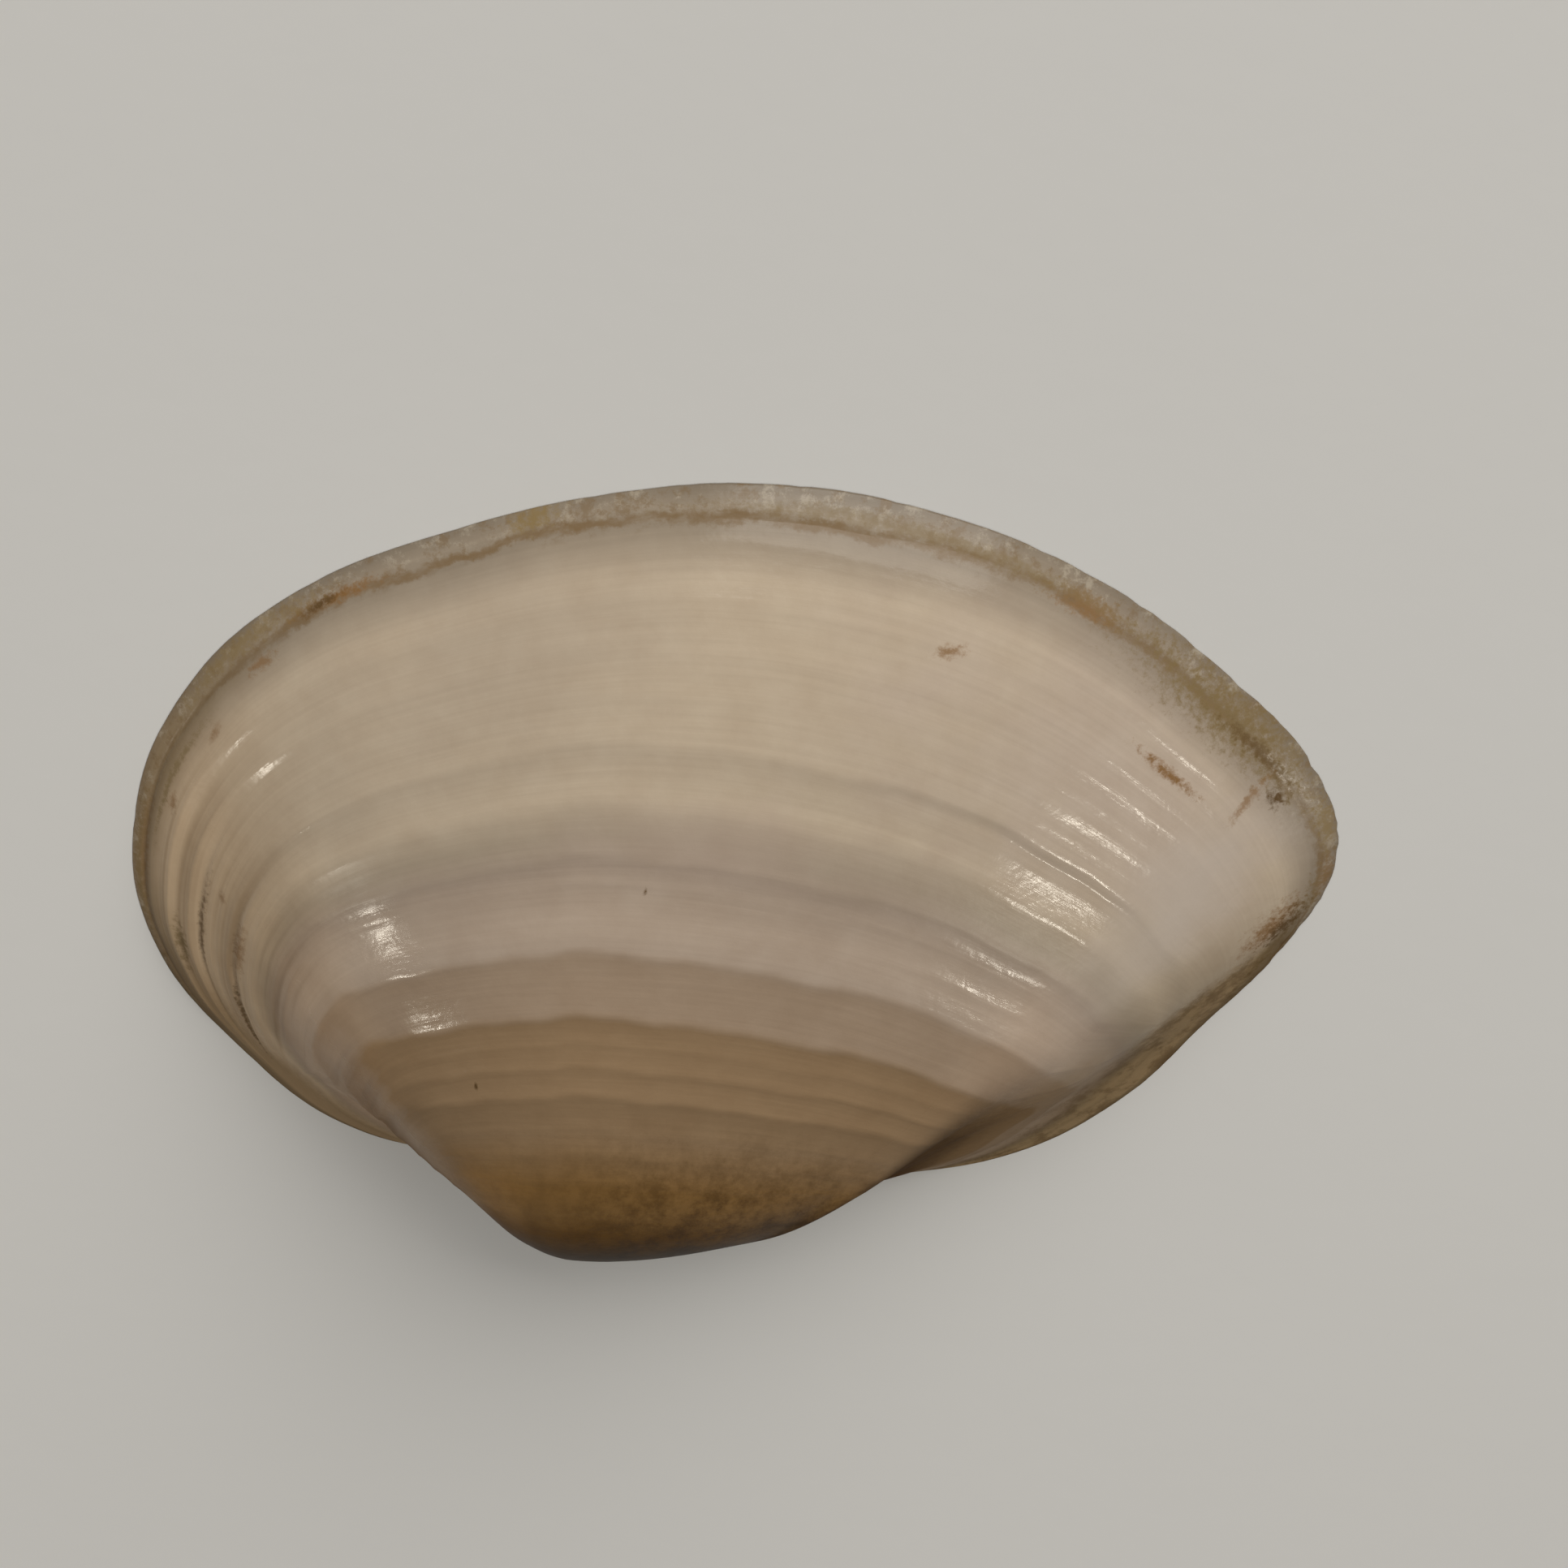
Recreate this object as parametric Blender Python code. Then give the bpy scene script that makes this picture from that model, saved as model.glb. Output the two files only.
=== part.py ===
"""Right valve of a trough clam, lying on its lip with the outside up.

The valve grew as a spiral: every growth ring is the lip at a younger age, smaller and
turned further about the hinge line. The model runs that growth backwards, from the lip
to the beak. Front is +X, the hinge is at +Y, the belly is at -Y, and the lip and the
hinge line lie in the plane Z = 0, where the other valve would close against it.
"""
from math import atan2, exp, hypot, log

import bmesh
import bpy
from mathutils import Matrix, Vector

MM = 0.001
MERGE = 0.01
NEAR_ZERO = 1e-9

# Outline of the lip in mm, seen from outside, from the beak round the front,
# the belly and the pointed back end
LIP = [
    (1.4, 10.7), (6.0, 10.65), (10.0, 10.0), (13.25, 7.2), (15.55, 3.6), (15.95, -0.4),
    (14.6, -4.6), (11.9, -7.8), (7.5, -10.25), (2.7, -11.8), (-0.6, -12.15), (-4.0, -11.75),
    (-8.7, -9.95), (-12.7, -6.9), (-15.3, -3.9), (-16.05, -1.2), (-14.9, 1.9), (-13.0, 4.7),
    (-11.05, 7.4), (-8.0, 9.7), (-4.5, 10.55),
]
BEAK = Vector((1.4, 11.1, 0.0))

# Growth: radians turned about the hinge line while the ring shrinks by a factor e, and
# the size of the youngest ring against the lip
TURN = 0.86
YOUNGEST = 0.06
# The young valve was shorter in front, longer behind, and leant forward, per radian turned
FRONT_SHRINK = 0.15
BACK_STRETCH = 0.27
LEAN = 0.42

# Growth rings from the lip to the beak, and points between two knots of the lip
OUTSIDE_RINGS = 30
INSIDE_RINGS = 20
LIP_DETAIL = 3

# The hollow is the outside drawn in towards a point on the lip's plane, and stops below
# the beak, which is solid. The hinge is trimmed to a form drawn in half as far, so that
# it ends inside the wall.
DRAW_IN_CENTRE = Vector((0.0, 0.3, 0.0))
HOLLOW_SCALE = Vector((0.945, 0.94, 0.88))
HOLLOW_YOUNGEST = 0.2
HOLLOW_SKIRT = 1.0
MIDWALL_SCALE = Vector((0.972, 0.97, 0.94))

# Hinge plate under the beak, flat, and set back from the lip's plane. Its outer side
# runs past the wall and is trimmed to it.
PLATE_Z = 0.5
PLATE_THICKNESS = 1.0
PLATE = [
    (10.2, 8.3), (11.5, 10.6), (6.5, 13.0), (1.4, 14.0), (-4.5, 13.0), (-9.6, 10.2),
    (-9.0, 7.5), (-6.0, 8.3), (-3.2, 8.7), (-1.9, 7.6), (-0.4, 7.2), (0.8, 7.7),
    (1.6, 8.4), (4.2, 8.9), (7.2, 8.7),
]
PLATE_DETAIL = 2

# Teeth as ridges on the plate, each as its start, its end and its width. The cardinal
# teeth spread from the beak, and the lateral teeth are doubled at the front and the back.
TEETH = {
    "cardinal_front": ((1.75, 10.25), (3.2, 9.25), 0.36),
    "cardinal_back": ((1.5, 10.1), (1.7, 8.75), 0.36),
    "lateral_front_inner": ((4.5, 9.2), (9.2, 8.65), 0.36),
    "lateral_front_outer": ((4.7, 10.0), (8.8, 9.45), 0.30),
    "lateral_back_inner": ((-3.2, 9.0), (-8.4, 7.95), 0.36),
    "lateral_back_outer": ((-3.3, 9.8), (-7.8, 8.85), 0.30),
}
TOOTH_CREST_Z = 0.08
TOOTH_ROOT = 0.3
CREST_LENGTH = 0.75
CREST_WIDTH = 0.5

# Pit of the inner ligament, a scoop in the plate behind the cardinal teeth
PIT_CENTRE = (-0.45, 8.8)
PIT_SIZE = (1.0, 1.25, 0.6)
PIT_TURN = -0.25
PIT_SEGMENTS = 16

SHELL_COLOUR = (0.62, 0.50, 0.38, 1.0)
SHELL_ROUGHNESS = 0.3


def clear_scene():
    for obj in list(bpy.data.objects):
        bpy.data.objects.remove(obj, do_unlink=True)


def new_collection(name):
    collection = bpy.data.collections.new(name)
    bpy.context.scene.collection.children.link(collection)
    return collection


def shell_material():
    material = bpy.data.materials.new("shell_white")
    material.use_nodes = True
    shader = material.node_tree.nodes["Principled BSDF"]
    shader.inputs["Base Color"].default_value = SHELL_COLOUR
    shader.inputs["Roughness"].default_value = SHELL_ROUGHNESS
    shader.inputs["Metallic"].default_value = 0.0
    return material


def curve_through(name, points, detail):
    """A closed smooth curve through the points, in mm."""
    curve = bpy.data.curves.new(name, "CURVE")
    curve.resolution_u = detail
    spline = curve.splines.new("BEZIER")
    spline.bezier_points.add(len(points) - 1)
    spline.use_cyclic_u = True
    for knot, (x, y) in zip(spline.bezier_points, points):
        knot.co = (x, y, 0.0)
        knot.handle_left_type = "AUTO"
        knot.handle_right_type = "AUTO"
    return curve


def evaluated_mesh(obj):
    depsgraph = bpy.context.evaluated_depsgraph_get()
    depsgraph.update()
    return bpy.data.meshes.new_from_object(obj.evaluated_get(depsgraph))


def mesh_of(curve):
    """The mesh that the curve makes, as Blender draws it."""
    guide = bpy.data.objects.new(curve.name, curve)
    bpy.context.scene.collection.objects.link(guide)
    mesh = evaluated_mesh(guide)
    bpy.data.objects.remove(guide, do_unlink=True)
    return mesh


def growth_step(shrink):
    """One step back in age: smaller, and turned about the hinge line through the beak."""
    turn = TURN * log(1.0 / shrink)
    about_beak = Matrix.Rotation(-turn, 4, "X") @ Matrix.Scale(shrink, 4)
    return Matrix.Translation(BEAK) @ about_beak @ Matrix.Translation(-BEAK)


def settle(point):
    """Change the proportions with age, by the angle turned about the hinge line."""
    x, y, z = point - BEAK
    turned = atan2(z, -y) if hypot(y, z) > NEAR_ZERO else 0.0
    stretch = exp(-FRONT_SHRINK * turned) if x > 0 else exp(BACK_STRETCH * turned)
    return BEAK + Vector((x * stretch + LEAN * turned * hypot(y, z), y, z))


def extruded(form, edges, matrix):
    """Extrude a ring of edges, move the new ring by the matrix, and return its edges."""
    grown = bmesh.ops.extrude_edge_only(form, edges=edges)["geom"]
    points = [part for part in grown if isinstance(part, bmesh.types.BMVert)]
    bmesh.ops.transform(form, matrix=matrix, verts=points)
    return [part for part in grown if isinstance(part, bmesh.types.BMEdge)]


def grown_form(rings, youngest=YOUNGEST, skirt=0.0):
    """The closed body inside the growth rings, with a straight skirt below the lip if asked."""
    form = bmesh.new()
    form.from_mesh(mesh_of(curve_through("lip", LIP, LIP_DETAIL)))
    lip = form.edges[:]
    step = growth_step(youngest ** (1.0 / rings))
    ring = lip
    for _ in range(rings):
        ring = extruded(form, ring, step)
    bmesh.ops.edgeloop_fill(form, edges=ring)
    for vert in form.verts:
        vert.co = settle(vert.co)
    if skirt:
        lip = extruded(form, lip, Matrix.Translation((0.0, 0.0, -skirt)))
    bmesh.ops.edgeloop_fill(form, edges=lip)
    bmesh.ops.recalc_face_normals(form, faces=form.faces)
    return form


def object_from(form, name, collection, matrix=Matrix.Identity(4)):
    """Write the form, still in mm, into an object in metres."""
    mesh = bpy.data.meshes.new(name)
    bmesh.ops.transform(form, matrix=Matrix.Scale(MM, 4) @ matrix, verts=form.verts)
    form.to_mesh(mesh)
    form.free()
    obj = bpy.data.objects.new(name, mesh)
    collection.objects.link(obj)
    return obj


def as_cutter(obj):
    obj.hide_render = True
    obj.display_type = "WIRE"
    return obj


def combine(target, tool, operation):
    modifier = target.modifiers.new(operation.lower() + "_" + tool.name, "BOOLEAN")
    modifier.operation = operation
    modifier.solver = "EXACT"
    modifier.object = tool


def drawn_in(form, name, scale, cutters):
    """The form drawn inwards, as a cutter."""
    centre = Matrix.Translation(DRAW_IN_CENTRE)
    inwards = centre @ Matrix.Diagonal(scale).to_4x4() @ centre.inverted()
    return as_cutter(object_from(form, name, cutters, inwards))


def tooth(name, start, end, width, cutters):
    """A ridge rooted in the plate, shorter and narrower at its crest."""
    form = bmesh.new()
    bmesh.ops.create_cube(form, size=1.0)
    crest = [v for v in form.verts if v.co.z < 0]
    bmesh.ops.scale(form, vec=(CREST_LENGTH, CREST_WIDTH, 1.0), verts=crest)
    along = Vector(end) - Vector(start)
    middle = (Vector(start) + Vector(end)) / 2
    height = PLATE_Z + TOOTH_ROOT - TOOTH_CREST_Z
    place = Matrix.Translation((*middle, TOOTH_CREST_Z + height / 2))
    turn = Matrix.Rotation(atan2(along.y, along.x), 4, "Z")
    size = Matrix.Diagonal((along.length, width, height, 1.0))
    return as_cutter(object_from(form, name, cutters, place @ turn @ size))


def ligament_pit(cutters):
    """A scoop that opens in the face of the plate."""
    form = bmesh.new()
    bmesh.ops.create_uvsphere(
        form, u_segments=PIT_SEGMENTS, v_segments=PIT_SEGMENTS // 2, radius=1.0)
    place = Matrix.Translation((*PIT_CENTRE, PLATE_Z))
    turn = Matrix.Rotation(PIT_TURN, 4, "Z")
    size = Matrix.Diagonal((*PIT_SIZE, 1.0))
    return as_cutter(object_from(form, "ligament_pit", cutters, place @ turn @ size))


def hinge(cutters):
    """The plate with its pit and its teeth, ending inside the wall."""
    curve = curve_through("plate", PLATE, PLATE_DETAIL)
    curve.dimensions = "2D"
    curve.fill_mode = "BOTH"
    curve.extrude = PLATE_THICKNESS / 2
    form = bmesh.new()
    form.from_mesh(mesh_of(curve))
    bmesh.ops.remove_doubles(form, verts=form.verts, dist=MERGE)
    bmesh.ops.recalc_face_normals(form, faces=form.faces)
    up = Matrix.Translation((0.0, 0.0, PLATE_Z + PLATE_THICKNESS / 2))
    plate = as_cutter(object_from(form, "plate", cutters, up))
    combine(plate, ligament_pit(cutters), "DIFFERENCE")
    for name, (start, end, width) in TEETH.items():
        combine(plate, tooth(name, start, end, width, cutters), "UNION")
    midwall = drawn_in(grown_form(INSIDE_RINGS), "midwall", MIDWALL_SCALE, cutters)
    combine(plate, midwall, "INTERSECT")
    return plate


def build_valve():
    shell = new_collection("trough_clam_valve")
    cutters = new_collection("cutters")
    valve = object_from(grown_form(OUTSIDE_RINGS), "right_valve", shell)
    inside = grown_form(INSIDE_RINGS, HOLLOW_YOUNGEST, HOLLOW_SKIRT)
    combine(valve, drawn_in(inside, "hollow", HOLLOW_SCALE, cutters), "DIFFERENCE")
    combine(valve, hinge(cutters), "UNION")
    valve.data.materials.append(shell_material())


clear_scene()
build_valve()
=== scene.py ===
"""Looks of a trough clam's right valve, lying on its lip with the outside up.

The valve grew as a spiral: every growth ring is the lip at a younger age, smaller and
turned further about the hinge line. The rings are extruded backwards from the lip to the
beak, then the thickness, the growth relief and the marks are added. Front is +X, the
hinge is at +Y, the belly is at -Y, and the lip lies in the plane Z = 0.

Two numbers place everything on the outside: along, from 0 to 21 round the lip, starting
at the beak and going by the front, the belly and the pointed back end, and age, from 1 at
the lip down to 0 at the beak.
"""
from math import atan2, log

import bmesh
import bpy
import numpy as np
from bpy.props import (FloatProperty, FloatVectorProperty, IntProperty,
                       PointerProperty)
from bpy.types import Operator, Panel, PropertyGroup
from mathutils import Matrix, Vector


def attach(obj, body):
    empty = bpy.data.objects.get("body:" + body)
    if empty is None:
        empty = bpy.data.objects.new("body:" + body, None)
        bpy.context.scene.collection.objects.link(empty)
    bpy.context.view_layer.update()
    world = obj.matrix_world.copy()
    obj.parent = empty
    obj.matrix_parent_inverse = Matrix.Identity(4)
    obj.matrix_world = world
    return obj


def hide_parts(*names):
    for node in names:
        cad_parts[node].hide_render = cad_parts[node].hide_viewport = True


bl_info = {
    "name": "Trough clam valve",
    "version": (1, 0, 0),
    "blender": (4, 5, 0),
    "location": "3D View > Sidebar > Clam",
    "description": "Builds a glossy trough clam valve with its growth rings, marks and hinge",
    "category": "Add Mesh",
}

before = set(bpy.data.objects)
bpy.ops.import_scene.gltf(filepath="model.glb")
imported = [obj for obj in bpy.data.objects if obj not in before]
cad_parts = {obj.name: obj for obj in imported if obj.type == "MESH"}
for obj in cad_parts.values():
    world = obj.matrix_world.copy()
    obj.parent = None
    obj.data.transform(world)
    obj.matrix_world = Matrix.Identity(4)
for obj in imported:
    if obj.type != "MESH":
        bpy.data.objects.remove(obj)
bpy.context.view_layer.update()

MM = 0.001

# Outline of the lip in mm, one point for each whole number of "along"
LIP = [
    (1.4, 10.7), (6.0, 10.65), (10.0, 10.0), (13.25, 7.2), (15.55, 3.6), (15.95, -0.4),
    (14.6, -4.6), (11.9, -7.8), (7.5, -10.25), (2.7, -11.8), (-0.6, -12.15), (-4.0, -11.75),
    (-8.7, -9.95), (-12.7, -6.9), (-15.3, -3.9), (-16.05, -1.2), (-14.9, 1.9), (-13.0, 4.7),
    (-11.05, 7.4), (-8.0, 9.7), (-4.5, 10.55),
]
ALONG = len(LIP)
BEAK = Vector((1.4, 11.1, 0.0))

# Growth: radians turned about the hinge line while the ring shrinks by a factor e
TURN = 0.86
YOUNGEST = 0.06
FRONT_SHRINK = 0.15
BACK_STRETCH = 0.27
LEAN = 0.42

# The wall's inner side is the outside drawn in towards a point on the lip's plane
DRAW_IN_CENTRE = Vector((0.0, 0.3, 0.0))
DRAW_IN = Vector((0.945, 0.94, 0.88))
INSIDE_YOUNGEST = 0.2

# How far round from the lip the rings crowd together at the front and the back margins:
# (along, share of the spacing that is left)
CROWDING = [
    (0.0, 0.14), (2.4, 0.16), (2.8, 0.3), (3.2, 0.5), (3.5, 0.66), (4.0, 0.84), (4.5, 0.94),
    (5.3, 1.0), (14.4, 1.0), (15.0, 0.9), (15.5, 0.76), (16.0, 0.5), (16.6, 0.25),
    (17.2, 0.16), (21.0, 0.14),
]
CROWDED_AGES = (0.15, 0.4)
# How low the crests are where the rings crowd, as a power of that share
CROWDED_RELIEF = 0.6
# The lip's rounded edge, as shares of the wall's thickness, and the domes that close the
# youngest rings, as steps of size and lift
LIP_STEPS = (0.12, 0.5, 0.88, 1.0)
OUTSIDE_DOME = [(0.85, 0.05), (0.8, 0.05), (0.6, 0.03), (0.5, 0.0)]
INSIDE_DOME = [(0.9, 0.1), (0.85, 0.1), (0.75, 0.08), (0.6, 0.05), (0.4, 0.02)]
# Shares of the wall's thickness: below the first lies the outside, above the third the
# inside, and the second parts the two. The inside's material begins at the last one
OUTER, MIDDLE, INNER = 0.0001, 0.5, 0.9
INSIDE_MATERIAL = 0.3
# A face of the growth map lies over the seam when it has points past the first place and
# before the second, as shares of the way round
SEAM = (0.9, 0.5)

# Growth rings that stand up as soft crests: age, height in mm, and how far the crest
# reaches on its older and its newer side, in age
CRESTS = [
    (0.95, 0.018, 0.006, 0.008), (0.9, 0.035, 0.018, 0.018), (0.856, 0.028, 0.012, 0.012),
    (0.82, 0.014, 0.008, 0.01), (0.777, 0.034, 0.01, 0.016), (0.722, 0.048, 0.016, 0.02),
    (0.679, 0.036, 0.008, 0.008), (0.655, 0.022, 0.005, 0.005), (0.594, 0.08, 0.012, 0.024),
    (0.533, 0.06, 0.008, 0.014), (0.506, 0.024, 0.006, 0.005), (0.482, 0.045, 0.006, 0.007),
    (0.452, 0.038, 0.008, 0.008), (0.415, 0.014, 0.006, 0.006), (0.385, 0.022, 0.01, 0.01),
    (0.35, 0.016, 0.01, 0.01),
]
# Fine crests beside the middle: age, height at the front and at the back in mm, and reach
# on the older and the newer side, in age
SIDE_CRESTS = [
    (0.941, 0.012, 0.034, 0.01, 0.009), (0.919, 0.014, 0.062, 0.01, 0.01),
    (0.906, 0.056, 0.0, 0.008, 0.018), (0.876, 0.012, 0.036, 0.008, 0.01),
    (0.861, 0.05, 0.0, 0.008, 0.018), (0.834, 0.01, 0.014, 0.005, 0.006),
    (0.815, 0.01, 0.01, 0.004, 0.006), (0.798, 0.01, 0.008, 0.004, 0.006),
    (0.755, 0.016, 0.004, 0.006, 0.01), (0.731, 0.014, 0.0, 0.004, 0.008),
    (0.705, 0.014, 0.0, 0.006, 0.006), (0.69, 0.01, 0.0, 0.006, 0.006),
    (0.662, 0.006, 0.02, 0.006, 0.008), (0.628, 0.003, 0.02, 0.006, 0.008),
    (0.607, 0.004, 0.008, 0.005, 0.005), (0.547, 0.012, 0.006, 0.006, 0.004),
    (0.49, 0.016, 0.006, 0.006, 0.004),
]
FRONT_SIDE = [
    (0.0, 0.5), (3.0, 0.8), (4.0, 1.3), (5.5, 1.3), (7.2, 1.0), (8.3, 0.15), (10.0, 0.0),
    (21.0, 0.0),
]
BACK_SIDE = [
    (0.0, 0.0), (10.0, 0.0), (11.6, 0.2), (12.3, 1.0), (13.2, 1.0), (14.0, 0.2), (21.0, 0.2),
]
# The relief fades out towards the beak and towards the lip between these ages
UMBO_AGES = (0.12, 0.3)
LIP_AGES = (0.985, 1.0)
# Every crest is low on the back slope and high at the front end
RELIEF_SHARE = [
    (0.0, 0.1), (2.8, 0.2), (3.6, 1.2), (4.5, 1.6), (5.5, 1.6), (7.5, 1.0), (13.6, 1.0),
    (14.5, 0.4), (15.2, 0.25), (21.0, 0.25),
]
# The older rings sag towards the beak in front of the umbo: along, reach, ages between
# which it begins, and amount, and the ages between which it ends at the beak
SAG = (5.8, 1.3, (0.66, 0.40), 0.035)
SAG_FADE = (0.1, 0.3)
# Grooves where growth stopped: age, depth in mm, reach in age, and where they run
GROOVES = [
    (0.969, 0.030, 0.004, 8.5, 9.0), (0.769, 0.060, 0.006, 12.7, 1.0),
    (0.764, 0.060, 0.006, 4.4, 1.3), (0.842, 0.050, 0.006, 4.3, 1.3),
    (0.880, 0.012, 0.012, 9.0, 4.0),
]
# The rings waver a little, in age: how much, and for each wave its pace along the lip, its
# start, its pace from ring to ring, and its share
WAVER = 0.0028
WAVES = [(1.8, -15.5, 5.0, 1.0), (4.3, 1.0, 11.0, 0.5), (9.1, 0.0, 23.0, 0.3)]
# The back slope is hollow behind a keel: the run along the lip where it drops, where it
# ends, and the ages between which it fades out towards the lip
KEEL_START = (13.65, 14.6)
KEEL_END = (15.7, 18.0)
KEEL_FADE = (0.66, 0.44)
# Near the beak the valve is too small to be hollow
BEAK_AGES = (0.12, 0.36)
# Flatter places, on the front of the umbo and of the valve: along, age, reach of each, and
# depth in mm
FLATS = [(6.9, 0.27, 1.6, 0.10, 0.22), (7.3, 0.62, 0.6, 0.08, 0.06)]
# The back half is a little twisted and flatter in the way of growth: along and age of its
# middle, the reach of both, the twist and the flattening in mm, and the fade at the lip
TWIST = (12.9, 0.77, 1.6, 0.28, 2.3, 4.7)
TWIST_FADE = (1.0, 0.93)
# The lip is nibbled: the paces of the nibbles, their depth in mm, and where they are
NIBBLES = (17.0, 23.3, 31.7)
NIBBLE_DEPTH = 0.07
NIBBLED = [(0.0, 0.3), (6.0, 0.2), (11.0, 0.4), (12.5, 1.0), (18.0, 1.0), (21.0, 0.3)]
# On the inside, in mm: the scars of the two closing muscles (centre, half sizes), and the
# line where the mantle held on, with the bay of the siphons behind
SCARS = [((10.4, 3.9), (1.5, 2.3)), ((-10.4, 3.3), (1.8, 1.7))]
SCAR_DEPTH = 0.10
SCAR_EDGE = (1.08, 0.92)
MANTLE_LINE = [
    (11.2, 1.4), (11.5, -1.6), (9.7, -4.9), (6.2, -7.4), (2.2, -8.9), (-1.5, -9.2),
    (-5.0, -8.4), (-8.6, -6.3), (-9.9, -4.3), (-6.8, -3.5), (-4.0, -2.0), (-3.3, -0.4),
    (-4.6, 0.9), (-8.4, 1.5), (-10.2, 1.7),
]
MANTLE_WIDTH = 0.3
MANTLE_DEPTH = 0.06


def select_only(obj):
    """Deselect everything else in object mode and make this object active."""
    bpy.ops.object.select_all(action="DESELECT")
    obj.select_set(True)
    bpy.context.view_layer.objects.active = obj


def edit_mode():
    bpy.ops.object.mode_set(mode="EDIT")


def edit_all():
    """Edit the active mesh with everything selected."""
    edit_mode()
    bpy.ops.mesh.select_all(action="SELECT")


def object_mode():
    bpy.ops.object.mode_set(mode="OBJECT")


def turn_outwards():
    """Point every face outwards and leave edit mode."""
    bpy.ops.mesh.select_all(action="SELECT")
    bpy.ops.mesh.normals_make_consistent(inside=False)
    object_mode()


def apply_modifier(obj, kind, **settings):
    """Give the active object a modifier with these settings and apply it."""
    modifier = obj.modifiers.new(kind.lower(), kind)
    for name, value in settings.items():
        setattr(modifier, name, value)
    bpy.ops.object.modifier_apply(modifier=modifier.name)


def smooth_curve(name, points, detail):
    """A closed Bezier curve in mm with a knot at each point."""
    bpy.ops.object.select_all(action="DESELECT")
    bpy.ops.curve.primitive_bezier_curve_add(location=(0.0, 0.0, 0.0))
    curve = bpy.context.object
    curve.name = name
    edit_mode()
    bpy.ops.curve.select_all(action="SELECT")
    bpy.ops.curve.subdivide(number_cuts=len(points) - 2)
    bpy.ops.curve.cyclic_toggle()
    bpy.ops.curve.handle_type_set(type="AUTOMATIC")
    object_mode()
    for knot, (x, y) in zip(curve.data.splines[0].bezier_points, points):
        knot.co = (x, y, 0.0)
    curve.data.resolution_u = detail
    return curve


def lip_ring(detail):
    """The lip as a mesh ring that remembers, at each point, how far along it is."""
    curve = smooth_curve("lip", LIP, detail)
    bpy.ops.object.convert(target="MESH")
    ring = bpy.context.object
    count = len(ring.data.vertices)
    write(ring.data, "along", [i * ALONG / count for i in range(count)])
    write(ring.data, "inside", [0.0] * count)
    return ring


def mark_selected(attribute, value):
    """Write the value on the selected points, in edit mode."""
    mesh = bpy.context.object.data
    form = bmesh.from_edit_mesh(mesh)
    layer = form.verts.layers.float[attribute]
    for vert in form.verts:
        if vert.select:
            vert[layer] = value
    bmesh.update_edit_mesh(mesh)


def select_lip(count):
    """Select the first ring of edges again, in edit mode."""
    bpy.ops.mesh.select_all(action="DESELECT")
    form = bmesh.from_edit_mesh(bpy.context.object.data)
    form.verts.ensure_lookup_table()
    for vert in form.verts[:count]:
        vert.select = True
    form.select_flush(True)
    bmesh.update_edit_mesh(bpy.context.object.data)


def extrude_ring():
    bpy.ops.mesh.extrude_edges_move()


def grow_back(rings, youngest):
    """Extrude ring after ring from the selected one back in age, evenly spaced in age."""
    ages = np.linspace(1.0, youngest, rings + 1)
    for newer, older in zip(ages, ages[1:]):
        shrink = older / newer
        extrude_ring()
        bpy.ops.transform.resize(value=(shrink, shrink, shrink), center_override=BEAK)
        bpy.ops.transform.rotate(
            value=TURN * log(1.0 / shrink), orient_axis="X", center_override=BEAK)


def close_over(steps, rise, centre):
    """Close the selected ring with a low dome."""
    for size, lift in steps:
        extrude_ring()
        bpy.ops.transform.resize(value=(size, size, size), center_override=centre)
        bpy.ops.transform.translate(value=rise * lift)
    bpy.ops.mesh.merge(type="CENTER")


def ring_centre(age):
    """Middle of the ring at this age, and the way it was growing from."""
    turned = TURN * log(1.0 / age)
    ys = [BEAK.y - y for _, y in LIP]
    reach = age * (min(ys) + max(ys)) / 2
    xs = [x - BEAK.x for x, _ in LIP]
    side = age * (min(xs) + max(xs)) / 2
    centre = BEAK + Vector((side, -reach * np.cos(turned), reach * np.sin(turned)))
    return centre, Vector((0.0, np.sin(turned), np.cos(turned))) * reach


def write(mesh, name, values):
    mesh.attributes.new(name, "FLOAT", "POINT").data.foreach_set("value", values)


def read(mesh, name):
    values = np.zeros(len(mesh.vertices), dtype=np.float32)
    mesh.attributes[name].data.foreach_get("value", values)
    return values.astype(float)


def vectors(items, field):
    flat = np.zeros(len(items) * 3, dtype=np.float32)
    items.foreach_get(field, flat)
    return flat.reshape(-1, 3).astype(float)


def points_of(mesh):
    return vectors(mesh.vertices, "co")


def normals_of(mesh):
    return vectors(mesh.vertex_normals, "vector")


def put_points(mesh, points):
    mesh.vertices.foreach_set("co", points.astype(np.float32).ravel())
    mesh.update()


def smoothstep(low, high, value):
    t = np.clip((value - low) / (high - low), 0.0, 1.0)
    return t * t * (3.0 - 2.0 * t)


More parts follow.
